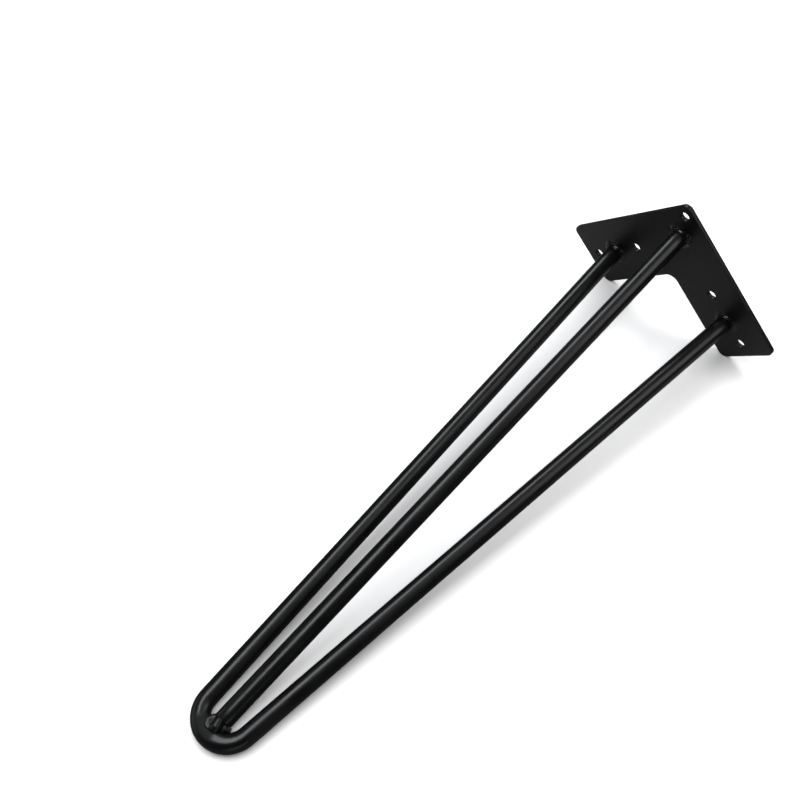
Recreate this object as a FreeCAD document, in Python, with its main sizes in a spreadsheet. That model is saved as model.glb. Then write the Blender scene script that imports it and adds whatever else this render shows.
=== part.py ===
import FreeCAD, Part
import math
import os

import Sketcher
from FreeCAD import Placement, Rotation, Vector

# Hairpin table leg: an L-shaped plate, one rod bent into a U, and a straight
# brace rod welded between the plate's corner and the inside of the bend.
# The frame's origin lies on the mounting face, where the centre lines of the
# two arms cross. The arms point to +X+Y and -X+Y, and the rods hang down to -Z.

# Driving sizes in millimetres
SIZES = {
    "arm_length": 112.75,
    "arm_width": 45.5,
    "plate_thickness": 3.0,
    "outer_corner_radius": 4.5,
    "inner_corner_radius": 6.5,
    "plate_edge_chamfer": 0.4,
    "hole_diameter": 6.5,
    "near_hole_inset": 48.5,
    "far_hole_inset": 10.0,
    "corner_hole_inset": 7.2,
    "rod_diameter": 11.0,
    "leg_height": 406.0,
    "bend_inside_radius": 10.0,
    "weld_inset": 27.5,
    "brace_setback": 27.2,
    "brace_end_gap": 5.5,
    "brace_end_chamfer": 0.5,
    "bead_land": 1.1,
    "bead_crown_width": 2.1,
    "bead_skirt_width": 1.2,
    "bead_crown_height": 1.4,
    "bead_skirt_height": 1.8,
    "lobe_offset": 2.6,
    "lobe_base_radius": 4.2,
    "lobe_top_radius": 2.2,
    "lobe_height": 2.7,
    "foot_weld_side": -2.4,
    "foot_weld_drop": 4.8,
    "foot_weld_base_radius": 6.2,
    "foot_weld_shoulder_radius": 5.3,
    "foot_weld_crest_radius": 2.8,
    "foot_weld_skirt_height": 5.4,
    "foot_weld_crown_height": 2.4,
    "foot_tack_side": 6.2,
    "foot_tack_drop": 1.6,
    "foot_tack_base_radius": 2.4,
    "foot_tack_shoulder_radius": 2.1,
    "foot_tack_crest_radius": 1.1,
    "foot_tack_skirt_height": 2.8,
    "foot_tack_crown_height": 1.2,
}

# Directions round each rod where its bead swells, in degrees from +X towards +Y
LEFT_LOBES = (190, 5)
RIGHT_LOBES = (195, 325, 25)
BRACE_LOBES = (215, 320, 10)

# Places worked out from the sizes, written as the document's own formulas
ROD_RADIUS = "sizes.rod_diameter / 2"
HALF_WIDTH = "sizes.arm_width / 2"
ARM_REACH = f"(sizes.arm_length - {HALF_WIDTH})"
NEAR_HOLE_REACH = f"({ARM_REACH} - sizes.near_hole_inset)"
FAR_HOLE_REACH = f"({ARM_REACH} - sizes.far_hole_inset)"
WELD_OFFSET = f"(({ARM_REACH} - sizes.weld_inset) / sqrt(2))"
BRACE_OFFSET = "(sizes.arm_width / sqrt(2) - sizes.brace_setback)"
BEND_RADIUS = f"(sizes.bend_inside_radius + {ROD_RADIUS})"
BEND_DEPTH = f"(sizes.leg_height - {ROD_RADIUS} - {BEND_RADIUS})"
BRACE_DEPTH = f"({BEND_DEPTH} + sizes.bend_inside_radius - sizes.brace_end_gap)"
UNDERSIDE = "-sizes.plate_thickness"
BEAD_CREST = f"({ROD_RADIUS} + sizes.bead_land)"
BEAD_SHOULDER = f"({BEAD_CREST} + sizes.bead_crown_width)"
BEAD_RIM = f"({BEAD_SHOULDER} + sizes.bead_skirt_width)"
BEAD_MIDDLE = "(sizes.plate_thickness + sizes.bead_skirt_height)"
LEG_IN_BEAD = f"({WELD_OFFSET} - {BEAD_MIDDLE} * ({WELD_OFFSET} - {BEND_RADIUS}) / {BEND_DEPTH})"
BRACE_IN_BEAD = (f"({BEAD_MIDDLE} * ({WELD_OFFSET} + {BRACE_OFFSET}) / {BRACE_DEPTH}"
                 f" - {BRACE_OFFSET})")

# The same places as numbers, for the first drawing of a sketch
half_width = SIZES["arm_width"] / 2
rod_radius = SIZES["rod_diameter"] / 2
arm_reach = SIZES["arm_length"] - half_width
near_hole_reach = arm_reach - SIZES["near_hole_inset"]
far_hole_reach = arm_reach - SIZES["far_hole_inset"]
weld_offset = (arm_reach - SIZES["weld_inset"]) / math.sqrt(2)
brace_offset = SIZES["arm_width"] / math.sqrt(2) - SIZES["brace_setback"]
bend_radius = SIZES["bend_inside_radius"] + rod_radius
bend_depth = SIZES["leg_height"] - rod_radius - bend_radius
brace_depth = bend_depth + SIZES["bend_inside_radius"] - SIZES["brace_end_gap"]

# Names for the ends of a sketch's lines, its origin and its two axes
START, END, CENTRE = range(1, 4)
X_AXIS, Y_AXIS = range(-1, -3, -1)
ORIGIN = (X_AXIS, START)

# Which way a cone of weld metal narrows: away from the plate, or towards the outer corner's side
DOWN = Rotation(Vector(1, 0, 0), 180)
FORWARD = Rotation(Vector(1, 0, 0), 90)


def make_sheet(doc):
    sheet = doc.addObject("Spreadsheet::Sheet", "sizes")
    for row, (alias, number) in enumerate(SIZES.items(), start=1):
        sheet.set(f"A{row}", alias.replace("_", " "))
        sheet.set(f"B{row}", str(number))
        sheet.setAlias(f"B{row}", alias)


def new_body(doc, label):
    body = doc.addObject("PartDesign::Body", label)
    body.Label = label
    return body


def new_sketch(body, name, role):
    plane = next(item for item in body.Origin.OriginFeatures if item.Role == role)
    sketch = body.newObject("Sketcher::SketchObject", name)
    sketch.AttachmentSupport = [(plane, "")]
    sketch.MapMode = "FlatFace"
    return sketch


def add_outline(sketch, corners):
    """Draws a closed outline of straight lines through the corners."""
    points = [Vector(across, up, 0) for across, up in corners]
    lines = [sketch.addGeometry(Part.LineSegment(here, there), False)
             for here, there in zip(points, points[1:] + points[:1])]
    for line, following in zip(lines, lines[1:] + lines[:1]):
        sketch.addConstraint(Sketcher.Constraint("Coincident", line, END, following, START))
    return lines


def add_dimension(sketch, name, kind, place, formula):
    """Adds a dimension at its drawn value, then ties it to the sheet."""
    if kind == "Radius":
        drawn = sketch.Geometry[place[0]].Radius
    else:
        span = sketch.getPoint(*place[2:]) - sketch.getPoint(*place[:2])
        drawn = {"DistanceX": span.x, "DistanceY": span.y, "Distance": span.Length}[kind]
    index = sketch.addConstraint(Sketcher.Constraint(kind, *place, drawn))
    sketch.renameConstraint(index, name)
    sketch.setExpression(f"Constraints.{name}", formula)


def edge_names(shape, wanted):
    return [f"Edge{number}" for number, edge in enumerate(shape.Edges, start=1) if wanted(edge)]


def stands_at(edge, corners):
    """True for a straight edge along Z that stands on one of the corners."""
    box = edge.BoundBox
    return box.ZLength > 0.1 and any(
        math.hypot(box.Center.x - across, box.Center.y - up) < 0.01 for across, up in corners)


def make_plate(doc):
    """The L-shaped plate, drawn with its arms along X and Y and then turned by 45 degrees."""
    body = new_body(doc, "mounting_plate")
    outer_corners = [(-half_width, -half_width), (arm_reach, -half_width), (arm_reach, half_width),
                     (half_width, arm_reach), (-half_width, arm_reach)]
    inner_corner = (half_width, half_width)

    outline = new_sketch(body, "plate_outline", "XY_Plane")
    lines = add_outline(outline, outer_corners[:3] + [inner_corner] + outer_corners[3:])
    for line in lines[0::2]:
        outline.addConstraint(Sketcher.Constraint("Horizontal", line))
    for line in lines[1::2]:
        outline.addConstraint(Sketcher.Constraint("Vertical", line))
    bottom, right_end, right_inner, left_inner, left_end, left = lines
    add_dimension(outline, "below", "DistanceY", (bottom, START, *ORIGIN), HALF_WIDTH)
    add_dimension(outline, "beside", "DistanceX", (left, END, *ORIGIN), HALF_WIDTH)
    add_dimension(outline, "right_reach", "DistanceX", (*ORIGIN, right_end, START), ARM_REACH)
    add_dimension(outline, "left_reach", "DistanceY", (*ORIGIN, left_end, START), ARM_REACH)
    add_dimension(outline, "right_width", "DistanceY",
                  (right_end, START, right_end, END), "sizes.arm_width")
    add_dimension(outline, "left_width", "DistanceX",
                  (left_end, END, left_end, START), "sizes.arm_width")

    pad = body.newObject("PartDesign::Pad", "plate_pad")
    pad.Profile = outline
    pad.Reversed = True
    pad.setExpression("Length", "sizes.plate_thickness")
    doc.recompute()

    rounded = body.newObject("PartDesign::Fillet", "outer_corners")
    rounded.Base = (pad, edge_names(pad.Shape, lambda edge: stands_at(edge, outer_corners)))
    rounded.setExpression("Radius", "sizes.outer_corner_radius")
    doc.recompute()

    cove = body.newObject("PartDesign::Fillet", "inner_corner")
    cove.Base = (rounded, edge_names(rounded.Shape, lambda edge: stands_at(edge, [inner_corner])))
    cove.setExpression("Radius", "sizes.inner_corner_radius")
    doc.recompute()

    rims = [edge for face in cove.Shape.Faces if face.BoundBox.ZLength < 0.001
            for edge in face.Edges]
    softened = body.newObject("PartDesign::Chamfer", "plate_edges")
    softened.Base = (cove, edge_names(cove.Shape, lambda edge: any(map(edge.isSame, rims))))
    softened.setExpression("Size", "sizes.plate_edge_chamfer")
    doc.recompute()

    drill_plate(doc, body)
    body.Placement = Placement(Vector(), Rotation(Vector(0, 0, 1), 45))
    return body


def drill_plate(doc, body):
    """Two screw holes along each arm and one towards the outer corner."""
    corner = half_width - SIZES["corner_hole_inset"]
    corner_formula = f"{HALF_WIDTH} - sizes.corner_hole_inset"
    centres = {
        "right_near": (near_hole_reach, 0, NEAR_HOLE_REACH, "0"),
        "right_far": (far_hole_reach, 0, FAR_HOLE_REACH, "0"),
        "left_near": (0, near_hole_reach, "0", NEAR_HOLE_REACH),
        "left_far": (0, far_hole_reach, "0", FAR_HOLE_REACH),
        "corner": (-corner, -corner, corner_formula, corner_formula),
    }
    layout = new_sketch(body, "hole_centres", "XY_Plane")
    for name, (across, up, across_formula, up_formula) in centres.items():
        circle = layout.addGeometry(
            Part.Circle(Vector(across, up, 0), Vector(0, 0, 1), SIZES["hole_diameter"] / 2), False)
        add_dimension(layout, f"{name}_radius", "Radius", (circle,), "sizes.hole_diameter / 2")
        here, origin = (circle, CENTRE), ORIGIN
        for axis, place, other_axis, formula in (
                ("DistanceX", across, Y_AXIS, across_formula),
                ("DistanceY", up, X_AXIS, up_formula)):
            if place == 0:
                layout.addConstraint(Sketcher.Constraint("PointOnObject", *here, other_axis))
            else:
                ends = (*origin, *here) if place > 0 else (*here, *origin)
                add_dimension(layout, f"{name}_{axis}", axis, ends, formula)
    doc.recompute()

    holes = body.newObject("PartDesign::Hole", "screw_holes")
    holes.Profile = layout
    holes.DepthType = "ThroughAll"
    holes.setExpression("Diameter", "sizes.hole_diameter")
    body.Tip = holes


def trim_at_plate(body):
    """Cuts a rod off flush with the underside of the plate."""
    half = 2 * SIZES["rod_diameter"] + arm_reach
    sketch = new_sketch(body, "trim_outline", "XY_Plane")
    sketch.setExpression("AttachmentOffset.Base.z", UNDERSIDE)
    lines = add_outline(sketch, [(-half, -half), (half, -half), (half, half), (-half, half)])
    for line in lines[0::2]:
        sketch.addConstraint(Sketcher.Constraint("Horizontal", line))
    for line in lines[1::2]:
        sketch.addConstraint(Sketcher.Constraint("Vertical", line))
    side = f"2 * sizes.rod_diameter + {ARM_REACH}"
    bottom, right, top, left = lines
    add_dimension(sketch, "below", "DistanceY", (bottom, START, *ORIGIN), side)
    add_dimension(sketch, "before", "DistanceX", (bottom, START, *ORIGIN), side)
    add_dimension(sketch, "above", "DistanceY", (*ORIGIN, top, START), side)
    add_dimension(sketch, "beyond", "DistanceX", (*ORIGIN, top, START), side)

    trim = body.newObject("PartDesign::Pocket", "plate_trim")
    trim.Profile = sketch
    trim.Reversed = True
    trim.setExpression("Length", "sizes.rod_diameter + sizes.plate_thickness")
    body.Tip = trim


def make_hairpin(doc):
    """The bent rod: half of it swept from the foot up, then mirrored about X = 0."""
    body = new_body(doc, "hairpin_rod")
    spine = new_sketch(body, "half_centre_line", "XZ_Plane")
    lean = (math.atan2(weld_offset, bend_depth)
            - math.asin(bend_radius / math.hypot(weld_offset, bend_depth)))
    centre = Vector(0, -bend_depth, 0)
    tangent = centre + bend_radius * Vector(math.cos(lean), -math.sin(lean), 0)
    bend = spine.addGeometry(
        Part.ArcOfCircle(Part.Circle(centre, Vector(0, 0, 1), bend_radius), -math.pi / 2, -lean),
        False)
    leg = spine.addGeometry(Part.LineSegment(tangent, Vector(weld_offset, 0, 0)), False)
    spine.addConstraint([
        Sketcher.Constraint("PointOnObject", bend, CENTRE, Y_AXIS),
        Sketcher.Constraint("PointOnObject", bend, START, Y_AXIS),
        Sketcher.Constraint("Tangent", bend, END, leg, START),
        Sketcher.Constraint("PointOnObject", leg, END, X_AXIS),
    ])
    add_dimension(spine, "bend_radius", "Radius", (bend,), BEND_RADIUS)
    add_dimension(spine, "bend_depth", "DistanceY", (bend, CENTRE, *ORIGIN), BEND_DEPTH)
    add_dimension(spine, "weld_offset", "DistanceX", (*ORIGIN, leg, END), WELD_OFFSET)

    section = new_sketch(body, "foot_section", "YZ_Plane")
    foot = Vector(0, -bend_depth - bend_radius, 0)
    circle = section.addGeometry(Part.Circle(foot, Vector(0, 0, 1), rod_radius), False)
    section.addConstraint(Sketcher.Constraint("PointOnObject", circle, CENTRE, Y_AXIS))
    add_dimension(section, "rod_radius", "Radius", (circle,), ROD_RADIUS)
    add_dimension(section, "foot_depth", "DistanceY", (circle, CENTRE, *ORIGIN),
                  f"{BEND_DEPTH} + {BEND_RADIUS}")

    half = body.newObject("PartDesign::AdditivePipe", "half_rod")
    half.Profile = section
    half.Spine = (spine, ["Edge1", "Edge2"])
    doc.recompute()

    whole = body.newObject("PartDesign::Mirrored", "mirrored_rod")
    whole.Originals = [half]
    plane = next(item for item in body.Origin.OriginFeatures if item.Role == "YZ_Plane")
    whole.MirrorPlane = (plane, [""])
    body.Tip = whole
    doc.recompute()

    trim_at_plate(body)
    body.setExpression("Placement.Base.y", WELD_OFFSET)
    return body


def make_brace(doc):
    """The straight rod, turned about its own leaning axis and cut square at the foot."""
    body = new_body(doc, "brace_rod")
    section = new_sketch(body, "half_section", "YZ_Plane")
    top = Vector(-brace_offset, 0, 0)
    foot = Vector(weld_offset, -brace_depth, 0)
    along = (top - foot).normalize()
    outward = rod_radius * Vector(along.y, -along.x, 0)
    lines = add_outline(section, [(point.x, point.y) for point in
                                  (foot, foot + outward, top + outward, top)])
    foot_end, side, top_end, middle = lines
    axis = section.addGeometry(Part.LineSegment(foot, top), True)
    section.addConstraint([
        Sketcher.Constraint("Coincident", axis, START, foot_end, START),
        Sketcher.Constraint("Coincident", axis, END, middle, START),
        Sketcher.Constraint("Perpendicular", foot_end, axis),
        Sketcher.Constraint("Perpendicular", top_end, axis),
        Sketcher.Constraint("PointOnObject", axis, END, X_AXIS),
    ])
    add_dimension(section, "rod_radius", "Distance", (foot_end, START, foot_end, END), ROD_RADIUS)
    add_dimension(section, "side_radius", "Distance", (top_end, END, top_end, START), ROD_RADIUS)
    add_dimension(section, "top_offset", "DistanceX", (axis, END, *ORIGIN), BRACE_OFFSET)
    add_dimension(section, "foot_offset", "DistanceX", (*ORIGIN, axis, START), WELD_OFFSET)
    add_dimension(section, "foot_depth", "DistanceY", (axis, START, *ORIGIN), BRACE_DEPTH)

    turned = body.newObject("PartDesign::Revolution", "turned_rod")
    turned.Profile = section
    turned.ReferenceAxis = (section, ["Axis0"])
    turned.Angle = 360
    doc.recompute()

    chamfer = body.newObject("PartDesign::Chamfer", "foot_chamfer")
    chamfer.Base = (turned, edge_names(
        turned.Shape, lambda edge: edge.BoundBox.ZMax < -brace_depth + rod_radius))
    chamfer.setExpression("Size", "sizes.brace_end_chamfer")
    doc.recompute()

    trim_at_plate(body)
    return body


def add_cone(doc, name, radii, height, place, turn):
    """A cone that narrows away from its place, with every size a formula."""
    cone = doc.addObject("Part::Cone", name)
    cone.Placement = Placement(Vector(), turn)
    settings = ("Radius1", "Radius2", "Height",
                "Placement.Base.x", "Placement.Base.y", "Placement.Base.z")
    for setting, formula in zip(settings, (*radii, height, *place)):
        cone.setExpression(setting, formula)
    return cone


def heap_up(doc, label, lumps, neighbours):
    """Melts lumps of weld together and cuts the neighbours out, so that the weld seats on them."""
    weld = doc.addObject("Part::MultiFuse", f"{label}_heap")
    weld.Shapes = lumps
    for neighbour in neighbours:
        cut = doc.addObject("Part::Cut", f"{label}_less_{neighbour.Label}")
        cut.Base, cut.Tool = weld, neighbour
        weld = cut
    weld.Label = label
    return weld


def make_plate_weld(doc, label, rod, across, along, lobes):
    """A bead round the top of a rod: a ring with a skirt and a crown, and lobes where it swells."""
    skirt = add_cone(doc, f"{label}_skirt", (BEAD_RIM, BEAD_SHOULDER), "sizes.bead_skirt_height",
                     (across, along, UNDERSIDE), DOWN)
    crown = add_cone(doc, f"{label}_crown", (BEAD_SHOULDER, BEAD_CREST), "sizes.bead_crown_height",
                     (across, along, f"{UNDERSIDE} - sizes.bead_skirt_height"), DOWN)
    swellings = [make_lobe(doc, label, across, along, turn) for turn in lobes]
    return heap_up(doc, label, [skirt, crown] + swellings, [rod])


def make_lobe(doc, label, across, along, turn):
    offset = f"({ROD_RADIUS} + sizes.lobe_offset)"
    place = (f"{across} + {offset} * cos({turn})", f"{along} + {offset} * sin({turn})", UNDERSIDE)
    return add_cone(doc, f"{label}_lobe", ("sizes.lobe_base_radius", "sizes.lobe_top_radius"),
                    "sizes.lobe_height", place, DOWN)


def make_foot_weld(doc, label, hairpin, brace):
    """A lump of weld between the brace's end and the bend, placed from the middle of that end."""
    depth = f"-{BRACE_DEPTH} - sizes.{label}_drop"
    base, shoulder, crest = (f"sizes.{label}_{ring}_radius" for ring in ("base", "shoulder", "crest"))
    skirt = add_cone(doc, f"{label}_skirt", (base, shoulder), f"sizes.{label}_skirt_height",
                     (f"sizes.{label}_side", WELD_OFFSET, depth), FORWARD)
    crown = add_cone(doc, f"{label}_crown", (shoulder, crest), f"sizes.{label}_crown_height",
                     (f"sizes.{label}_side", f"{WELD_OFFSET} - sizes.{label}_skirt_height", depth),
                     FORWARD)
    return heap_up(doc, label, [skirt, crown], [hairpin, brace])


def check(doc, pieces):
    for item in doc.Objects:
        if "Invalid" in item.State or "Error" in item.State:
            raise RuntimeError(f"{item.Label} did not recompute: {item.State}")
    for piece in pieces:
        if piece.Shape.isNull() or not piece.Shape.isValid():
            raise RuntimeError(f"{piece.Label} has no valid shape")
        print(f"{piece.Label}: {len(piece.Shape.Solids)} solid, {piece.Shape.Volume:.1f} mm3")


doc = FreeCAD.newDocument("hairpin_leg")
make_sheet(doc)
plate = make_plate(doc)
hairpin = make_hairpin(doc)
brace = make_brace(doc)
doc.recompute()
pieces = [
    plate, hairpin, brace,
    make_plate_weld(doc, "plate_weld_left", hairpin, f"-{LEG_IN_BEAD}", WELD_OFFSET, LEFT_LOBES),
    make_plate_weld(doc, "plate_weld_right", hairpin, LEG_IN_BEAD, WELD_OFFSET, RIGHT_LOBES),
    make_plate_weld(doc, "plate_weld_brace", brace, "0", BRACE_IN_BEAD, BRACE_LOBES),
    make_foot_weld(doc, "foot_weld", hairpin, brace),
    make_foot_weld(doc, "foot_tack", hairpin, brace),
]
doc.recompute()
check(doc, pieces)
os.makedirs("parts", exist_ok=True)
for piece in pieces:
    piece.Shape.exportStep(f"parts/{piece.Label}.step")
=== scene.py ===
# %% [markdown]
# # A hairpin table leg in black powder coat
# The leg is bent from one round steel rod, braced by a second rod and welded under an L-shaped
# plate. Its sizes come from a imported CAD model, which is loaded here as a fixed frame. Everything
# made below sits in that frame: metres, the mounting face at z = 0, the rods going down to -z.
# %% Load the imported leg
from math import atan2, cos, pi, radians, sin, sqrt

import bmesh
import bpy
from mathutils import Matrix, Vector, noise


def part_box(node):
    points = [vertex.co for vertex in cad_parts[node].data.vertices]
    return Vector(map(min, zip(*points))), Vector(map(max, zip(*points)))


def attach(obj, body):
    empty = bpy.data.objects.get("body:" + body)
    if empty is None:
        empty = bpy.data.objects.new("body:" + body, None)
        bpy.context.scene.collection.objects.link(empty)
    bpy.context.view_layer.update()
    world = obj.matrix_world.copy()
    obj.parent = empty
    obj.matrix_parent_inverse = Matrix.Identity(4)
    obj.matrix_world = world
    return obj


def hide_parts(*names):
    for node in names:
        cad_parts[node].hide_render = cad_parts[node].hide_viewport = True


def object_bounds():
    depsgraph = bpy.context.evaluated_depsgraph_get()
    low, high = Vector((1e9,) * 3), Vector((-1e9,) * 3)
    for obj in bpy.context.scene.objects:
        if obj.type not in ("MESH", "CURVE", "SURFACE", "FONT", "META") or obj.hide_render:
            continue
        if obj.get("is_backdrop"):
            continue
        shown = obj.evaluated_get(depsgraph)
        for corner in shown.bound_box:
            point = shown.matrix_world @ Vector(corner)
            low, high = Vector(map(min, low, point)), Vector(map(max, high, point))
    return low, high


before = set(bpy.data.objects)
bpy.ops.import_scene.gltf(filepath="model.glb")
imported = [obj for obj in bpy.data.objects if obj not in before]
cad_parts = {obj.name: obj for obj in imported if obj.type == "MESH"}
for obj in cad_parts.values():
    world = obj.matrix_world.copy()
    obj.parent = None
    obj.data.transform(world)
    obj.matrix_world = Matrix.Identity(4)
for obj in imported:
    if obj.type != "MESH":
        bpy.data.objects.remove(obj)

MM = 0.001


def in_mm(values, digits=2):
    return [round(value / MM, digits) for value in values]


packed_box = [list(corner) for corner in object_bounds()]
print("CAD nodes:", sorted(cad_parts))
print("CAD box in mm:", [in_mm(corner) for corner in packed_box])

# %% [markdown]
# ## The camera
# The leg lies on its side, and the camera looks down at it from a little above the foot. A camera
# can be set with three angles, but here its own axes are named in the leg's frame, as they were
# worked out from the picture: what points right in it, what points down, and what points into it.
# Lamps look along their own -z axis just as a camera does, so one helper stands up both.
# %% Stand the camera
CAMERA_PLACE = Vector((219.66, -546.03, -423.45)) * MM
PICTURE_RIGHT = Vector((0.71605, 0.06758, 0.69477))
PICTURE_DOWN = Vector((0.5624, 0.53374, -0.63153))
INTO_PICTURE = Vector((-0.41351, 0.84294, 0.34417))
SENSOR_WIDTH = 36
FOCAL_LENGTH = 50.968
LEG_MIDDLE = Vector((0, 0.035, -0.2))


def stand(thing, place, right, up, back):
    turn = Matrix((right, up, back)).transposed()
    thing.matrix_world = Matrix.Translation(place) @ turn.to_4x4()
    bpy.context.scene.collection.objects.link(thing)


camera = bpy.data.objects.new("camera", bpy.data.cameras.new("camera"))
camera.data.sensor_width = SENSOR_WIDTH
camera.data.lens = FOCAL_LENGTH
camera.data.clip_start = 10 * MM
stand(camera, CAMERA_PLACE, PICTURE_RIGHT, -PICTURE_DOWN, -INTO_PICTURE)
bpy.context.scene.camera = camera
print("camera", round((CAMERA_PLACE - LEG_MIDDLE).length, 3), "m from the middle of the leg")

# %% [markdown]
# ## The sheet it lies on
# Lying down, the leg rests on the foot bend and on the inner edge of the plate, so the rods tilt
# by about four degrees to the sheet. The sheet could be turned by eye until nothing sinks in, but
# the tilt follows from two lengths: how far apart the two resting places are along the leg, and
# how much further out the plate's edge is than the rod's centre line.
# %% Find the resting plane
ROD_RADIUS = 5.5 * MM
HAIRPIN_Y = 44.194 * MM
BEND_CENTRE_Z = -385 * MM
BEND_RADIUS = 15.5 * MM
PLATE_UNDERSIDE = -3 * MM

plate_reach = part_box("mounting_plate")[1].y
along = PLATE_UNDERSIDE - (BEND_CENTRE_Z - BEND_RADIUS)
outward = plate_reach - HAIRPIN_Y
tilt = atan2(outward, along) - ROD_RADIUS / sqrt(along ** 2 + outward ** 2)
sheet_up = Vector((0, -cos(tilt), sin(tilt)))
sheet_point = Vector((0, plate_reach, PLATE_UNDERSIDE))
print("the rods lean", round(tilt * 180 / pi, 2), "degrees to the sheet")

# %% Lay the sheet
SHEET_SIZE = 2.4


def make_mesh(form, name):
    mesh = bpy.data.meshes.new(name)
    form.to_mesh(mesh)
    form.free()
    return mesh


def lay_sheet(name):
    form = bmesh.new()
    bmesh.ops.create_grid(form, x_segments=1, y_segments=1, size=SHEET_SIZE / 2)
    sheet = bpy.data.objects.new(name, make_mesh(form, name))
    middle = Vector((0, HAIRPIN_Y, LEG_MIDDLE.z))
    sheet.location = middle - sheet_up * (middle - sheet_point).dot(sheet_up)
    sheet.rotation_euler = (pi / 2 - tilt, 0, 0)
    bpy.context.scene.collection.objects.link(sheet)
    sheet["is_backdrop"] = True
    return sheet


sheet = lay_sheet("paper_sheet")
print("the sheet lies at", in_mm(sheet.location, 1), "mm")

# %% [markdown]
# ## Studio light
# A satin black rod shows its lamps as long soft streaks, so the lamps decide how round it looks.
# Two softboxes hang end to end in a bent line over the leg and make the long streak. Dimmer ones
# overhead and on the right give the second streak near the plate. Lamps could be aimed with
# angles, but a softbox is easier to think of as a stretched cloth with two ends, so each is given
# by where its two ends hang, as heights above the sheet and bearings round it, in degrees. A wide
# panel that no gloss reflects fills the shadows.
# %% Hang the softboxes
TO_PLATE = Vector((0, sheet_up.z, -sheet_up.y))
COOL = (0.93, 0.955, 1)
WARM = (1, 0.995, 0.985)
bpy.context.scene.view_settings.view_transform = "Standard"


def sky_direction(height, bearing):
    flat = Vector((1, 0, 0)) * cos(radians(bearing)) + TO_PLATE * sin(radians(bearing))
    return flat * cos(radians(height)) + sheet_up * sin(radians(height))


def hang_softbox(name, first_end, second_end, away, wide, bright, tint=(1, 1, 1), glossy=True):
    ends = [LEG_MIDDLE + sky_direction(*end) * away for end in (first_end, second_end)]
    middle, long = (ends[0] + ends[1]) / 2, (ends[1] - ends[0]).length
    lamp = bpy.data.lights.new(name, "AREA")
    lamp.shape, lamp.size, lamp.size_y = "RECTANGLE", wide, long
    lamp.energy, lamp.color = bright * pi * wide * long, tint
    softbox = bpy.data.objects.new(name, lamp)
    softbox.visible_camera, softbox.visible_glossy = False, glossy
    along = (ends[1] - ends[0]).normalized()
    across = along.cross((middle - LEG_MIDDLE).normalized()).normalized()
    stand(softbox, middle, across, along, across.cross(along))
    print(name, [round(v, 2) for v in middle], round(wide, 2), "x", round(long, 2), "m")


hang_softbox("upper_softbox", (70, 265), (58, 174), away=1.6, wide=0.4, bright=6.0, tint=COOL)
hang_softbox("left_softbox", (60, 172), (32, 126), away=1.6, wide=0.42, bright=5.0, tint=COOL)
hang_softbox("overhead_softbox", (78, 90), (74, 30), away=1.6, wide=0.5, bright=0.8)
hang_softbox("right_softbox", (62, 52), (26, 30), away=1.4, wide=0.46, bright=1.9)
hang_softbox("ceiling", (62, 270), (62, 90), away=2.0, wide=1.4, bright=0.05)
hang_softbox("wide_panel", (60, 270), (60, 90), away=2.6, wide=2.6, bright=3.15, tint=WARM,
             glossy=False)

# %% [markdown]
# ## Light for the other sides
# Black gloss is only as round as the lamps it mirrors, so the sides, the back and the mounting
# face each get a lamp too. They could hang anywhere, but a round rod mirrors the camera's own
# slope: lamps beyond the foot, beyond the plate and under the sheet serve the other views and
# hardly touch the main one.
# %% Hang the other lamps
hang_softbox("right_strip", (18, 345), (0, 300), away=1.5, wide=0.4, bright=0.7)
hang_softbox("left_strip", (18, 195), (0, 240), away=1.5, wide=0.4, bright=0.8)
hang_softbox("under_left_strip", (-62, 110), (-40, 238), away=1.6, wide=0.45, bright=1.8)
hang_softbox("under_right_strip", (-52, 60), (-36, 312), away=1.6, wide=0.4, bright=1.2)
hang_softbox("plate_panel", (-30, 90), (30, 90), away=1.7, wide=1.2, bright=1.0)

# %% [markdown]
# ## The room
# Past the edge of the sheet the picture stays white. A white room would do that, but it would also
# light the leg from everywhere and wash its streaks out. So only the rays that come straight from
# the camera meet white, and all others meet a dim grey. The two helpers here build every shader
# below: one adds a node with its inputs, which may be numbers, colours or other nodes' outputs.
# %% Light the room
GREY = (0.5, 0.5, 0.5, 1)
WHITE = (1, 1, 1, 1)
DIM_STRENGTH = 0.04


def add_node(tree, kind, inputs=()):
    node = tree.nodes.new("ShaderNode" + kind)
    for socket, value in dict(inputs).items():
        if isinstance(value, bpy.types.NodeSocket):
            tree.links.new(value, node.inputs[socket])
        else:
            node.inputs[socket].default_value = value
    return node


def mix_shaders(tree, share, first, second):
    return add_node(tree, "MixShader", {"Fac": share, 1: first.outputs[0], 2: second.outputs[0]})


room = bpy.data.worlds.new("room")
bpy.context.scene.world = room
room.use_nodes = True
tree = room.node_tree
tree.nodes.clear()
from_camera = add_node(tree, "LightPath").outputs["Is Camera Ray"]
dim = add_node(tree, "Background", {"Color": GREY, "Strength": DIM_STRENGTH})
white = add_node(tree, "Background", {"Color": WHITE})
by_ray = mix_shaders(tree, from_camera, dim, white)
add_node(tree, "OutputWorld", {"Surface": by_ray.outputs["Shader"]})
print("room:", len(tree.nodes), "nodes")

# %% [markdown]
# ## The sheet's paper
# The sheet looks plain white, yet it hardly shows in the leg's gloss, as if it ended close by with
# only dark studio beyond it. It could be cut short, but then its edge would show. A light path
# tells the two apart instead: rays from the camera meet bright paper, and rays that come off the
# leg meet dim paper. That dim paper carries painted shade: it is darker under the rods, where their
# shadow would fall, than under the plate, so the leg mirrors a shadow that is painted on. Seen from
# behind, the sheet is clear like a glass table, and lamps shine through it, so the side of the leg
# that lies on it can be looked at too.
# %% Paint shade into the paper along the leg
TONED_HALF = 0.3
# Painted shade: the dim paper's tones along the leg, darker under the rods than under the plate.
PAPER_PAINTED_SHADE = ((0.08, 0.10), (0.3, 0.03), (0.5, 0.03), (0.8, 0.20), (0.87, 0.24), (0.95, 0.05))

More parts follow.
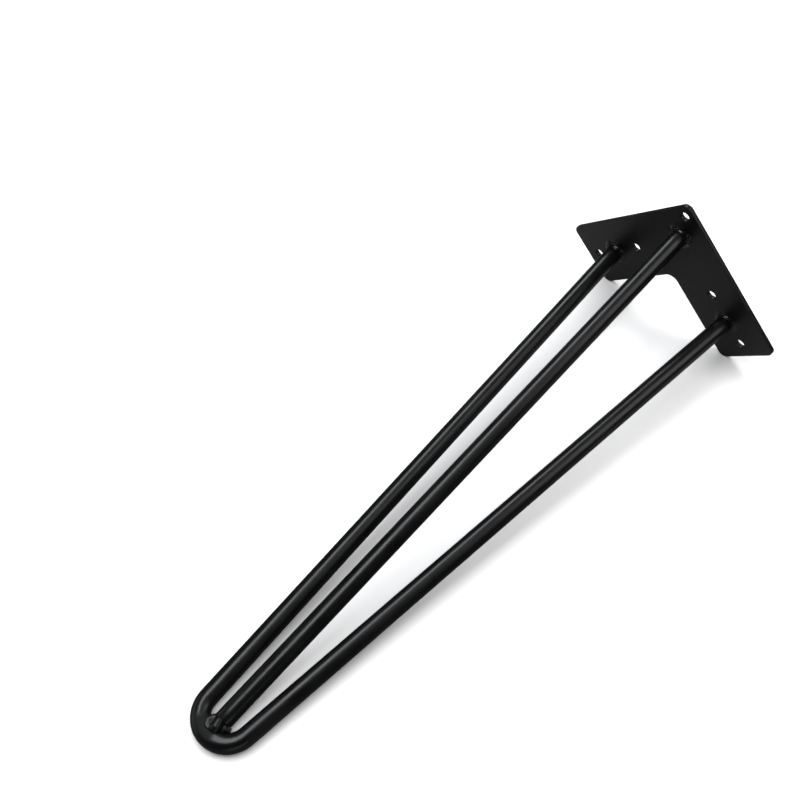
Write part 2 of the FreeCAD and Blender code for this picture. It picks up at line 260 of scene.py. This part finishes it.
paper = bpy.data.materials.new("white_paper")
paper.use_nodes = True
tree = paper.node_tree
tree.nodes.clear()
spot = add_node(tree, "TexCoord").outputs["Object"]
towards_plate = add_node(tree, "SeparateXYZ", {"Vector": spot}).outputs["Y"]
along_leg = add_node(tree, "MapRange", {
    "Value": towards_plate, "From Min": -TONED_HALF, "From Max": TONED_HALF}).outputs["Result"]
tone = add_node(tree, "ValToRGB", {"Fac": along_leg})
steps = tone.color_ramp.elements
for place, grey in PAPER_PAINTED_SHADE:
    steps.new(place).color = (grey, grey, grey, 1)
steps.remove(steps[0])
steps.remove(steps[-1])
print("paper tones:", [round(step.color[0], 2) for step in steps])

# %% Make the paper
PAPER_WHITE = (0.9, 0.9, 0.9, 1)


def add_math(tree, operation, *values):
    node = add_node(tree, "Math", enumerate(values[:2]))
    node.operation = operation
    answer = node.outputs["Value"]
    return add_math(tree, operation, answer, *values[2:]) if values[2:] else answer


ray = add_node(tree, "LightPath").outputs
lit = add_node(tree, "BsdfDiffuse", {"Color": PAPER_WHITE})
dull = add_node(tree, "BsdfDiffuse", {"Color": tone.outputs["Color"]})
clear = add_node(tree, "BsdfTransparent")
by_ray = mix_shaders(tree, ray["Is Camera Ray"], dull, lit)
from_behind = add_node(tree, "NewGeometry").outputs["Backfacing"]
seen_through = add_math(tree, "MAXIMUM", from_behind, ray["Is Shadow Ray"])
by_side = mix_shaders(tree, seen_through, by_ray, clear)
add_node(tree, "OutputMaterial", {"Surface": by_side.outputs["Shader"]})
sheet.data.materials.append(paper)
print("paper:", len(tree.nodes), "nodes")

# %% [markdown]
# ## Powder coat as a shared node group
# Powder coat is dust that melts into a skin on hot steel. It is never quite even: it has a fine
# orange peel, a scatter of duller specks, and patches that are a little smoother. It could be
# drawn anew in each material, but the plate, the rods and the welds all wear it, so it is one node
# group that each material places with its own numbers.
# %% Start the powder skin
def start_group(name, inputs, outputs):
    group = bpy.data.node_groups.new(name, "ShaderNodeTree")
    for label, value in inputs:
        socket = group.interface.new_socket(
            label, in_out="INPUT", socket_type="NodeSocketFloat")
        socket.default_value = value
    for label, kind in outputs:
        group.interface.new_socket(label, in_out="OUTPUT", socket_type=kind)
    given = group.nodes.new("NodeGroupInput").outputs
    result = group.nodes.new("NodeGroupOutput").inputs
    return group, given, result


skin, given, result = start_group(
    "powder_skin",
    [("Peel Size", 0.9), ("Peel Depth", 1.0), ("Speck Amount", 0.3), ("Roughness", 0.3),
     ("Lightness", 1.0)],
    [("Color", "NodeSocketColor"), ("Roughness", "NodeSocketFloat"),
     ("Height", "NodeSocketFloat")])
print("powder_skin takes:", [socket.name for socket in given if socket.name])

# %% Peel and specks
SPECKS_PER_PEEL = 1.7
SPECK_EDGE = 3.5

spot = add_node(skin, "TexCoord").outputs["Object"]
per_metre = add_math(skin, "DIVIDE", 1 / MM, given["Peel Size"])
peel = add_node(skin, "TexNoise", {
    "Vector": spot, "Scale": per_metre, "Detail": 3, "Roughness": 0.55}).outputs["Fac"]
speck_scale = add_math(skin, "MULTIPLY", per_metre, SPECKS_PER_PEEL)
speck = add_node(skin, "TexVoronoi", {"Vector": spot, "Scale": speck_scale}).outputs["Distance"]
from_speck = add_math(skin, "MINIMUM", add_math(skin, "MULTIPLY", speck, SPECK_EDGE), 1)
dot = add_math(skin, "SUBTRACT", 1, from_speck)
dot = add_math(skin, "MULTIPLY", dot, given["Speck Amount"])
height = add_math(skin, "ADD", add_math(skin, "MULTIPLY", peel, given["Peel Depth"]), dot)
skin.links.new(height, result["Height"])
print("peel and specks:", len(skin.nodes), "nodes so far")

# %% Patches of gloss and tone
PATCHES_PER_METRE = 55
PATCH_GLOSS = 0.16
SPECK_DULLNESS = 0.12
COAT_TONES = ((0.30, (0.0014, 0.0015, 0.0014, 1)), (0.75, (0.0034, 0.0037, 0.0035, 1)))

patch = add_node(skin, "TexNoise", {
    "Vector": spot, "Scale": PATCHES_PER_METRE, "Detail": 4}).outputs["Fac"]
spread = add_math(skin, "MULTIPLY", add_math(skin, "SUBTRACT", patch, 0.5), PATCH_GLOSS)
dull_by = add_math(skin, "MULTIPLY", dot, SPECK_DULLNESS)
skin.links.new(add_math(skin, "ADD", given["Roughness"], spread, dull_by), result["Roughness"])

lightened = add_math(skin, "MULTIPLY", add_math(skin, "ADD", patch, dull_by), given["Lightness"])
tone = add_node(skin, "ValToRGB", {"Fac": lightened})
for step, (place, colour) in zip(tone.color_ramp.elements, COAT_TONES):
    step.position, step.color = place, colour
skin.links.new(tone.outputs["Color"], result["Color"])
print("powder_skin:", len(skin.nodes), "nodes")

# %% [markdown]
# ## Bend marks
# When a cold rod is bent, its inner side is squeezed into fine wrinkles that all point at the
# bend's centre, and the coat follows them. They could be modelled, but they are shallower than the
# coat is thick, so a height that depends on the angle round the bend's centre does it. The group
# fades them out away from the bend and on its outer side. It also gives the scorch: the weld's
# heat and spatter leave a lumpy, duller patch on the left of the bend, where the long streak of
# light breaks off.
# %% Measure round the bend
wrinkles, given, result = start_group(
    "bend_wrinkles", [("Marks", 60.0), ("Depth", 1.0)],
    [("Height", "NodeSocketFloat"), ("Scorch", "NodeSocketFloat")])


def add_fade(tree, value, start, end):
    fade = add_node(tree, "MapRange", {"Value": value, "From Min": start, "From Max": end})
    fade.interpolation_type = "SMOOTHSTEP"
    return fade.outputs["Result"]


spot = add_node(wrinkles, "TexCoord").outputs["Object"]
parts = add_node(wrinkles, "SeparateXYZ", {"Vector": spot}).outputs
below_centre = add_math(wrinkles, "SUBTRACT", BEND_CENTRE_Z, parts["Z"])
angle = add_math(wrinkles, "ARCTAN2", parts["X"], below_centre)
squares = [add_math(wrinkles, "POWER", side, 2) for side in (parts["X"], below_centre)]
reach = add_math(wrinkles, "SQRT", add_math(wrinkles, "ADD", *squares))
near_bend = add_fade(wrinkles, below_centre, -14 * MM, -4 * MM)
print("the bend's centre lies at z =", round(BEND_CENTRE_Z / MM, 1), "mm")

# %% Squeeze the wrinkles
RIPPLES_PER_METRE = 180

polar = add_node(wrinkles, "CombineXYZ", {
    "X": add_math(wrinkles, "MULTIPLY", angle, given["Marks"]),
    "Y": add_math(wrinkles, "MULTIPLY", reach, RIPPLES_PER_METRE)}).outputs["Vector"]
grain = add_node(wrinkles, "TexNoise", {"Vector": polar, "Scale": 1, "Detail": 2}).outputs["Fac"]
outer = add_fade(wrinkles, reach, BEND_RADIUS - 4 * MM, BEND_RADIUS - 0.5 * MM)
inner = add_math(wrinkles, "SUBTRACT", 1, outer)
mask = add_math(wrinkles, "MULTIPLY", inner, near_bend)
marks = add_math(wrinkles, "MULTIPLY", grain, mask, given["Depth"])
print("wrinkles:", len(wrinkles.nodes), "nodes so far")

# %% Scorch the left of the bend
LUMPS_PER_METRE = 900
RAGGEDNESS = 0.2
LUMP_DEPTH = 2

lumps = add_node(wrinkles, "TexNoise", {
    "Vector": spot, "Scale": LUMPS_PER_METRE, "Detail": 2}).outputs["Fac"]
ragged = add_math(wrinkles, "MULTIPLY", add_math(wrinkles, "SUBTRACT", lumps, 0.5), RAGGEDNESS)
edge = add_math(wrinkles, "ADD", angle, ragged)
past_right = add_fade(wrinkles, edge, radians(8), radians(22))
from_left = add_fade(wrinkles, edge, radians(-52), radians(-34))
past_outside = add_fade(wrinkles, reach, BEND_RADIUS + 1 * MM, BEND_RADIUS + 3 * MM)
scorch = add_math(wrinkles, "MULTIPLY", add_math(wrinkles, "SUBTRACT", 1, past_right), from_left,
                  add_math(wrinkles, "SUBTRACT", 1, past_outside), near_bend)
bumps = add_math(wrinkles, "MULTIPLY", lumps, scorch, LUMP_DEPTH)
wrinkles.links.new(scorch, result["Scorch"])
wrinkles.links.new(add_math(wrinkles, "ADD", marks, bumps), result["Height"])
print("bend_wrinkles:", len(wrinkles.nodes), "nodes")

# %% [markdown]
# ## One coat, five materials
# The plate is flat and sprayed from one side, so its coat is a little duller. The rods are
# smoother. On the welds under the plate it runs glossier, and on the weld in the foot it is lumpy.
# Only the bent rod has bend marks. The bump is the coat's relief in millimetres.
# %% Mix the materials
SCORCH_DULLNESS = 0.45
MARK_DEPTH = 1.2


def place_group(tree, group, values):
    node = add_node(tree, "Group")
    node.node_tree = group
    for label, value in values.items():
        node.inputs[label].default_value = value
    return node.outputs


def mix_coat(name, peel_size, specks, roughness, bump, peel_depth=1.0, lightness=1.0,
             wrinkled=False):
    material = bpy.data.materials.new(name)
    material.use_nodes = True
    tree = material.node_tree
    coat = place_group(tree, skin, {
        "Peel Size": peel_size, "Peel Depth": peel_depth, "Speck Amount": specks,
        "Roughness": roughness, "Lightness": lightness})
    height, dullness = coat["Height"], coat["Roughness"]
    if wrinkled:
        bend = place_group(tree, wrinkles, {"Depth": MARK_DEPTH})
        height = add_math(tree, "ADD", height, bend["Height"])
        scorched = add_math(tree, "MULTIPLY", bend["Scorch"], SCORCH_DULLNESS)
        dullness = add_math(tree, "ADD", dullness, scorched)
    relief = add_node(tree, "Bump", {"Strength": 1, "Distance": bump * MM, "Height": height})
    shader = tree.nodes["Principled BSDF"]
    tree.links.new(relief.outputs["Normal"], shader.inputs["Normal"])
    tree.links.new(coat["Color"], shader.inputs["Base Color"])
    tree.links.new(dullness, shader.inputs["Roughness"])
    return material


plate_coat = mix_coat("plate_coat", peel_size=0.8, specks=0.3, roughness=0.40, bump=0.028)
hairpin_coat = mix_coat("hairpin_coat", peel_size=0.9, specks=0.25, roughness=0.30, bump=0.012,
                        wrinkled=True)
brace_coat = mix_coat("brace_coat", peel_size=0.9, specks=0.25, roughness=0.30, bump=0.012)
weld_coat = mix_coat("weld_coat", peel_size=1.3, specks=0.1, roughness=0.22, bump=0.02,
                     peel_depth=0.6)
# The foot weld's coat is a little lighter (lightness 1.2): a painted sheen for the dim grey gleam
# of its lump.
foot_coat = mix_coat("foot_coat", peel_size=1.5, specks=0.2, roughness=0.36, bump=0.08,
                     lightness=1.2)

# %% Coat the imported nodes
coat_of = {"mounting_plate": plate_coat, "hairpin_rod": hairpin_coat, "brace_rod": brace_coat,
           "plate_weld_left": weld_coat, "plate_weld_right": weld_coat,
           "plate_weld_brace": weld_coat, "foot_weld": foot_coat, "foot_tack": foot_coat}
for name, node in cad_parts.items():
    node.data.materials.clear()
    node.data.materials.append(coat_of[name])
print("coated:", {name: coat.name for name, coat in coat_of.items()})

# %% [markdown]
# ## The rods
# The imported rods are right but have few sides, which shows in a streak of light that runs their
# whole length. Each is swept again as a fine tube along the same centre line. The leg of the
# hairpin is the tangent from the weld to the bend, and its upper ends are cut level where they
# meet the plate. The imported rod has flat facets, so the fine one is a hair thinner and stays
# inside it.
# %% Sweep a round rod
ROD_SIDES = 72


def finish_piece(name, mesh, material, *nodes):
    mesh.materials.clear()
    mesh.materials.append(material)
    mesh.polygons.foreach_set("use_smooth", [True] * len(mesh.polygons))
    piece = bpy.data.objects.new(name, mesh)
    bpy.context.scene.collection.objects.link(piece)
    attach(piece, "root")
    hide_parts(*nodes)
    places = [[vertex.co[i] for vertex in mesh.vertices] for i in range(3)]
    size = in_mm(max(line) - min(line) for line in places)
    print(name, len(mesh.polygons), "faces,", size, "mm")


def join_rings(form, lower, upper):
    count = len(lower)
    for k in range(count):
        form.faces.new((lower[k], lower[(k + 1) % count], upper[(k + 1) % count], upper[k]))


def sweep_rod(name, rings):
    form = bmesh.new()
    turns = [2 * pi * k / ROD_SIDES for k in range(ROD_SIDES)]
    loops = [[form.verts.new(centre + (across * cos(turn) + over * sin(turn)) * radius)
              for turn in turns] for centre, across, over, radius in rings]
    for low, high in zip(loops, loops[1:]):
        join_rings(form, low, high)
    form.faces.new(loops[0])
    form.faces.new(list(reversed(loops[-1])))
    bmesh.ops.recalc_face_normals(form, faces=form.faces)
    return make_mesh(form, name)


def cut_level(mesh, axis, side=0):
    for vertex in mesh.vertices:
        if vertex.co.z > PLATE_UNDERSIDE and vertex.co.x * side >= 0:
            vertex.co += axis * ((PLATE_UNDERSIDE - vertex.co.z) / axis.z)


# %% Bend the hairpin
OUTWARD = Vector((0, 1, 0))
FINE_RADIUS = ROD_RADIUS - 0.02 * MM
BEND_CENTRE = Vector((0, HAIRPIN_Y, BEND_CENTRE_Z))
WELD_X = 44.194 * MM
LEG_STEPS = 40
BEND_STEPS = 96

leg_length = sqrt(WELD_X ** 2 + BEND_CENTRE_Z ** 2 - BEND_RADIUS ** 2)
leg_angle = atan2(WELD_X, -BEND_CENTRE_Z) + pi / 2 - atan2(BEND_RADIUS, leg_length)


def spoke_at(angle):
    return Vector((sin(angle), 0, cos(angle)))


def leg_rings(side):
    spoke = spoke_at(side * leg_angle)
    low, top = BEND_CENTRE + spoke * BEND_RADIUS, Vector((side * WELD_X, HAIRPIN_Y, 0))
    return [(low.lerp(top, step / LEG_STEPS), spoke, OUTWARD, FINE_RADIUS)
            for step in range(1, LEG_STEPS + 1)]


def bend_rings():
    turn = 2 * pi - 2 * leg_angle
    spokes = [spoke_at(leg_angle + turn * step / BEND_STEPS) for step in range(BEND_STEPS + 1)]
    return [(BEND_CENTRE + spoke * BEND_RADIUS, spoke, OUTWARD, FINE_RADIUS) for spoke in spokes]


hairpin_mesh = sweep_rod("bent_hairpin", leg_rings(1)[::-1] + bend_rings() + leg_rings(-1))
for side in (1, -1):
    spoke = spoke_at(side * leg_angle)
    leg_axis = Vector((-spoke.z * side, 0, spoke.x * side)).normalized()
    cut_level(hairpin_mesh, leg_axis, side)
print("each leg is straight for", round(leg_length / MM, 1), "mm")
finish_piece("bent_hairpin", hairpin_mesh, hairpin_coat, "hairpin_rod")

# %% Cut the brace
BRACE_TOP = Vector((0, -4.973, 0)) * MM
BRACE_END = Vector((0, 44.194, -389.5)) * MM
SIDEWAYS = Vector((1, 0, 0))
BRACE_STEPS = 60

brace_axis = (BRACE_END - BRACE_TOP).normalized()
brace_over = brace_axis.cross(SIDEWAYS).normalized()
straight_end = BRACE_END - brace_axis * 0.5 * MM
brace_rings = [(BRACE_TOP.lerp(straight_end, step / BRACE_STEPS), ROD_RADIUS)
               for step in range(BRACE_STEPS + 1)]
brace_rings += [(BRACE_END - brace_axis * 0.15 * MM, ROD_RADIUS - 0.12 * MM),
                (BRACE_END, ROD_RADIUS - 0.5 * MM)]
brace_mesh = sweep_rod("straight_brace", [(centre, SIDEWAYS, brace_over, radius)
                                          for centre, radius in brace_rings])
cut_level(brace_mesh, brace_axis)
finish_piece("straight_brace", brace_mesh, brace_coat, "brace_rod")

# %% [markdown]
# ## The plate
# The plate is stamped from 3 mm sheet. Its outline is rounded by tumbling and by the coat, and its
# holes keep a crisper rim. A curve with a bevel could make it, but it would round every edge
# alike, so the loops are drawn from the arms' centre lines, each gets its own rounded wall, and
# the two flat faces are filled between them.
# %% Draw the plate's outline
ARM_REACH = 89.99 * MM
HALF_WIDTH = 22.74 * MM
CORNER_ROUND = 4.5 * MM
CROTCH_ROUND = 6.5 * MM
RIGHT_ARM = Vector((1, 1)).normalized()
LEFT_ARM = Vector((-1, 1)).normalized()

corners = [(RIGHT_ARM * ARM_REACH - LEFT_ARM * HALF_WIDTH, CORNER_ROUND),
           (RIGHT_ARM * ARM_REACH + LEFT_ARM * HALF_WIDTH, CORNER_ROUND),
           ((RIGHT_ARM + LEFT_ARM) * HALF_WIDTH, CROTCH_ROUND),
           (LEFT_ARM * ARM_REACH + RIGHT_ARM * HALF_WIDTH, CORNER_ROUND),
           (LEFT_ARM * ARM_REACH - RIGHT_ARM * HALF_WIDTH, CORNER_ROUND),
           (-(RIGHT_ARM + LEFT_ARM) * HALF_WIDTH, CORNER_ROUND)]


def round_corner(before, corner, after, radius, steps=12):
    into, out_of = (before - corner).normalized(), (after - corner).normalized()
    half = into.angle(out_of) / 2
    middle = corner + (into + out_of).normalized() * radius / sin(half)
    slope = sin(half) / cos(half)
    start, end = corner + into * radius / slope, corner + out_of * radius / slope
    arm, turn = start - middle, (end - middle).angle_signed(start - middle)
    points = []
    for step in range(steps + 1):
        sweep = turn * step / steps
        points.append(middle + Vector((arm.x * cos(sweep) - arm.y * sin(sweep),
                                       arm.x * sin(sweep) + arm.y * cos(sweep))))
    return points


outline = []
for index, (corner, radius) in enumerate(corners):
    before, after = corners[index - 1][0], corners[(index + 1) % len(corners)][0]
    outline += round_corner(before, corner, after, radius)
print("outline points:", len(outline))

# %% Mark the holes
HOLE_RADIUS = 3.25 * MM
HOLE_SIDES = 48
ARM_HOLES = (41.5 * MM, 80 * MM)
CORNER_HOLE = Vector((0, -21.991)) * MM

hole_centres = [arm * reach for arm in (RIGHT_ARM, LEFT_ARM) for reach in ARM_HOLES]
hole_turns = [2 * pi * k / HOLE_SIDES for k in range(HOLE_SIDES)]
holes = [[centre + Vector((cos(turn), -sin(turn))) * HOLE_RADIUS for turn in hole_turns]
         for centre in hole_centres + [CORNER_HOLE]]
print("holes:", len(holes), "of", round(2 * HOLE_RADIUS / MM, 2), "mm")

# %% Stamp the plate
PLATE_THICKNESS = 3 * MM
EDGE_ROUND = 0.4 * MM
RIM_ROUND = 0.15 * MM


def rim_profile(rounding, steps=4):
    turns = [pi / 2 * k / steps for k in range(steps + 1)]
    profile = [(rounding * (1 - sin(turn)), -rounding * (1 - cos(turn))) for turn in turns]
    return profile + [(inset, -PLATE_THICKNESS - z) for inset, z in reversed(profile)]


def raise_wall(form, loop, rounding):
    count = len(loop)
    runs = [(loop[(k + 1) % count] - loop[k - 1]).normalized() for k in range(count)]
    inward = [Vector((-run.y, run.x)) for run in runs]
    rings = [[form.verts.new((point.x + side.x * inset, point.y + side.y * inset, z))
              for point, side in zip(loop, inward)] for inset, z in rim_profile(rounding)]
    for upper, lower in zip(rings, rings[1:]):
        join_rings(form, upper, lower)
    rims = [[form.edges.get((ring[k - 1], ring[k])) for k in range(count)]
            for ring in (rings[0], rings[-1])]
    for edge in rims[0] + rims[1]:
        edge.smooth = False
    return rims


form = bmesh.new()
walls = [raise_wall(form, outline, EDGE_ROUND)]
walls += [raise_wall(form, hole, RIM_ROUND) for hole in holes]
for rims in zip(*walls):
    face_edges = [edge for rim in rims for edge in rim]
    bmesh.ops.triangle_fill(form, use_beauty=True, edges=face_edges)
bmesh.ops.recalc_face_normals(form, faces=form.faces)
finish_piece("stamped_plate", make_mesh(form, "stamped_plate"), plate_coat, "mounting_plate")

# %% [markdown]
# ## The welds under the plate
# Each rod stands in a collar of weld: a narrow ledge against the rod, a short steep wall, a low
# skirt and a few lobes where the welder paused. It could be sculpted from melted balls, but those
# leave crumbs, and a real bead runs smooth. So its height over the plate is written as one
# function of the place, where collar, skirt and lobes melt into each other, and a net of rings
# round the rod takes that height. The numbers of a bead are in millimetres.
# %% The height of a bead
BEAD_SECTION = [(5.4, 1.0), (5.75, 1.02), (5.95, 0.97), (6.05, 0.80), (6.16, 0.62), (6.36, 0.44),
                (6.8, 0.27), (7.6, 0.14), (8.6, 0.05), (9.6, 0.0)]
BEAD_INSIDE = BEAD_SECTION[0][0]
LOBES_END = 9.4
LOBES_FADE = 2.6


def smooth_section(steps):
    points = [BEAD_SECTION[0]] * 2 + BEAD_SECTION + [BEAD_SECTION[-1]] * 2
    section = []
    for four in zip(points, points[1:], points[2:], points[3:]):
        for k in range(steps):
            t = k / steps
            weights = ((1 - t) ** 3 / 6, (3 * t ** 3 - 6 * t ** 2 + 4) / 6,
                       (-3 * t ** 3 + 3 * t ** 2 + 3 * t + 1) / 6, t ** 3 / 6)
            section.append(tuple(sum(w * point[i] for w, point in zip(weights, four))
                                 for i in (0, 1)))
    return section


def lobe_height(spot, start, end, width, high):
    run = end - start
    share = (spot - start).dot(run) / max(run.length_squared, 1e-9)
    nearest = start + run * min(max(share, 0), 1)
    return high * max(1 - ((spot - nearest).length / width) ** 2, 0) ** 2


def bead_height(spot, reach, collar, lobes):
    fade = min(max((LOBES_END - reach) / LOBES_FADE, 0), 1)
    fade = fade * fade * (3 - 2 * fade)
    lumps = [collar] + [fade * lobe_height(spot, Vector(start), Vector(end), width, high)
                        for start, end, width, high in lobes]
    return sum(lump ** 2 for lump in lumps) ** 0.5


print("a bead's foot reaches", BEAD_SECTION[-1][0], "mm from its rod's centre line")

# %% Lay the three beads
SEATED = 0.05 * MM
BEAD_SIDES = 180
SECTION_STEPS = 6
REACH_WANDER = 0.25
COLLAR_WANDER = 0.12
SAME_PLACE = 1e-7
LEG_FOOT = {side: Vector((side * 15.457, 44.194, -386.15)) * MM for side in (-1, 1)}


def weld_to_plate(name, node, top, foot, collar, seed, lobes):
    form = bmesh.new()
    section = smooth_section(SECTION_STEPS)
    rings = [[] for _ in section]
    for k in range(BEAD_SIDES):
        out = Vector((cos(2 * pi * k / BEAD_SIDES), sin(2 * pi * k / BEAD_SIDES)))
        wander = noise.noise(Vector((out.x, out.y, seed)))
        for ring, (reach, share) in zip(rings, section):
            spot = out * (BEAD_INSIDE + (reach - BEAD_INSIDE) * (1 + REACH_WANDER * wander))
            ledge = collar * (1 + COLLAR_WANDER * wander) * share
            level = PLATE_UNDERSIDE + SEATED - bead_height(spot, reach, ledge, lobes) * MM
            rod_centre = top.lerp(foot, (top.z - level) / (top.z - foot.z))
            ring.append(form.verts.new(rod_centre + Vector((*spot, 0)) * MM))
    base = [[form.verts.new(Vector((*corner.co.xy, PLATE_UNDERSIDE + SEATED))) for corner in ring]
            for ring in (rings[0], rings[-1])]
    for lower, upper in [*zip(rings, rings[1:]), (base[0], rings[0]), (rings[-1], base[1]),
                         (base[1], base[0])]:
        join_rings(form, lower, upper)
    bmesh.ops.remove_doubles(form, verts=form.verts, dist=SAME_PLACE)
    bmesh.ops.recalc_face_normals(form, faces=form.faces)
    finish_piece(name, make_mesh(form, name), weld_coat, node)


# Each lobe: the two ends of its ridge beside the rod, how wide it is and how high.
weld_to_plate("left_weld_bead", "plate_weld_left", Vector((-WELD_X, HAIRPIN_Y, 0)), LEG_FOOT[-1],
              collar=3.1, seed=3.1, lobes=[((-7.0, -5.0), (-8.0, 2.0), 3.6, 1.3),
                                           ((6.4, -0.6), (8.2, -2.0), 3.6, 0.9),
                                           ((7.2, 3.4), (6.0, 5.4), 3.4, 0.7)])
weld_to_plate("right_weld_bead", "plate_weld_right", Vector((WELD_X, HAIRPIN_Y, 0)), LEG_FOOT[1],
              collar=2.8, seed=7.7, lobes=[((-6.8, -3.4), (-7.4, -0.6), 3.4, 1.6),
                                           ((6.4, -5.4), (7.6, -4.8), 3.4, 1.0),
                                           ((6.4, 3.6), (5.8, 5.0), 3.4, 0.8)])
weld_to_plate("brace_weld_bead", "plate_weld_brace", BRACE_TOP, BRACE_END,
              collar=2.2, seed=5.2, lobes=[((6.0, -2.6), (6.4, -3.6), 3.0, 2.8),
                                           ((6.6, -5.2), (7.4, -6.4), 2.8, 1.2),
                                           ((-6.0, -5.8), (-6.2, -3.2), 3.4, 1.4),
                                           ((-2.0, -8.0), (0.4, -8.2), 3.0, 0.7),
                                           ((7.2, 0.4), (7.2, 2.4), 3.6, 1.1)])

# %% [markdown]
# ## The weld in the foot
# The brace is cut square and stops just short of the bend. One large smooth lump bridges the gap
# and runs up over the left side of the bend, with a soft ridge down its front, and a small tack
# sits on the right. Here the bead has no flat side to stand on, so a net of rings doesn't suit it,
# and it is built as a welder lays it, drop by drop. Metaballs do that: balls that reach for each
# other and join in one skin. Last, every point is held outside the two rods, as metal is.
# %% Lay drops and melt them
# With this radius the skin of a drop that lies alone reaches as far as its three sizes say.
DROP_RADIUS = 1.74


def take_mesh(name, data, voxel=None, settle=0):
    thing = bpy.data.objects.new(name, data)
    bpy.context.scene.collection.objects.link(thing)
    if voxel:
        even = thing.modifiers.new("even", "REMESH")
        even.mode, even.voxel_size = "VOXEL", voxel
        thing.modifiers.new("calm", "SMOOTH").iterations = settle
    bpy.context.view_layer.update()
    seen = thing.evaluated_get(bpy.context.evaluated_depsgraph_get())
    mesh = bpy.data.meshes.new_from_object(seen)
    bpy.data.objects.remove(thing)
    return mesh


def melt_drops(name, drops, resolution, settle):
    pool = bpy.data.metaballs.new(name + "_pool")
    pool.resolution = pool.render_resolution = resolution
    for place, sizes in drops:
        drop = pool.elements.new(type="ELLIPSOID")
        drop.co, drop.radius = place, DROP_RADIUS
        drop.size_x, drop.size_y, drop.size_z = sizes
    melt = take_mesh(name + "_pool", pool)
    lump = take_mesh(name + "_skin", melt, resolution, settle)
    lump.transform(Matrix.Scale(MM, 4))
    return lump


# %% Keep the metal outside the rods
SEAT_RADIUS = ROD_RADIUS - SEATED


def hold_outside_brace(mesh):
    length = (BRACE_END - BRACE_TOP).length
    for vertex in mesh.vertices:
        along = (vertex.co - BRACE_TOP).dot(brace_axis)
        across = vertex.co - BRACE_TOP - brace_axis * along
        to_side, to_end = SEAT_RADIUS - across.length, length - SEATED - along
        if to_side > 0 and to_end > 0:
            push = across.normalized() * to_side if to_side < to_end else brace_axis * to_end
            vertex.co += push


def hold_outside_bend(mesh):
    for vertex in mesh.vertices:
        flat = vertex.co - BEND_CENTRE
        flat.y = 0
        off = vertex.co - BEND_CENTRE - flat.normalized() * BEND_RADIUS
        if off.length < SEAT_RADIUS:
            vertex.co += off.normalized() * (SEAT_RADIUS - off.length)


print("the weld in the foot keeps", round(SEAT_RADIUS / MM, 2), "mm from the rods' centre lines")

# %% Weld the brace to the bend
# Each drop: its place and its three half sizes, in millimetres.
FOOT_RIDGE = [((-0.1, 40.7, -390.9), (2.4, 2.4, 2.0)), ((0.4, 40.5, -392.2), (2.4, 2.5, 2.0)),
              ((0.9, 40.3, -393.5), (2.5, 2.6, 2.1)), ((1.3, 40.1, -394.8), (2.7, 2.8, 2.3))]
FOOT_SIDES = [((-3.8, 43.0, -391.6), (2.6, 2.2, 2.4)), ((-4.6, 41.9, -395.2), (3.3, 2.4, 3.2)),
              ((-2.4, 41.4, -397.4), (3.8, 2.8, 2.2)), ((1.8, 42.0, -397.0), (2.4, 2.8, 1.6)),
              ((2.4, 43.6, -391.0), (3.0, 2.0, 2.2)), ((4.2, 43.8, -393.2), (2.6, 2.0, 2.2))]
TACK_DROPS = [((6.3, 41.6, -391.7), (1.1, 1.6, 1.0)), ((5.1, 42.2, -392.7), (0.9, 1.4, 0.8)),
              ((7.6, 42.4, -391.2), (0.8, 1.3, 0.9)), ((5.8, 43.4, -390.4), (1.8, 1.5, 1.6))]


def weld_foot(name, node, drops, resolution, settle):
    mesh = melt_drops(name, drops, resolution, settle)
    hold_outside_brace(mesh)
    hold_outside_bend(mesh)
    finish_piece(name, mesh, foot_coat, node)


weld_foot("foot_lump", "foot_weld", FOOT_RIDGE + FOOT_SIDES, resolution=0.25, settle=8)
weld_foot("foot_tack_drop", "foot_tack", TACK_DROPS, resolution=0.14, settle=4)

# %% [markdown]
# ## The dressed size
# The dressed leg's box is printed here, beside the CAD model's box printed at the start. The
# dressed leg may not grow past the CAD model.
# %% Print the sizes
dressed_box = [list(corner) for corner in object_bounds()]
print("dressed box in mm:", [in_mm(corner) for corner in dressed_box])
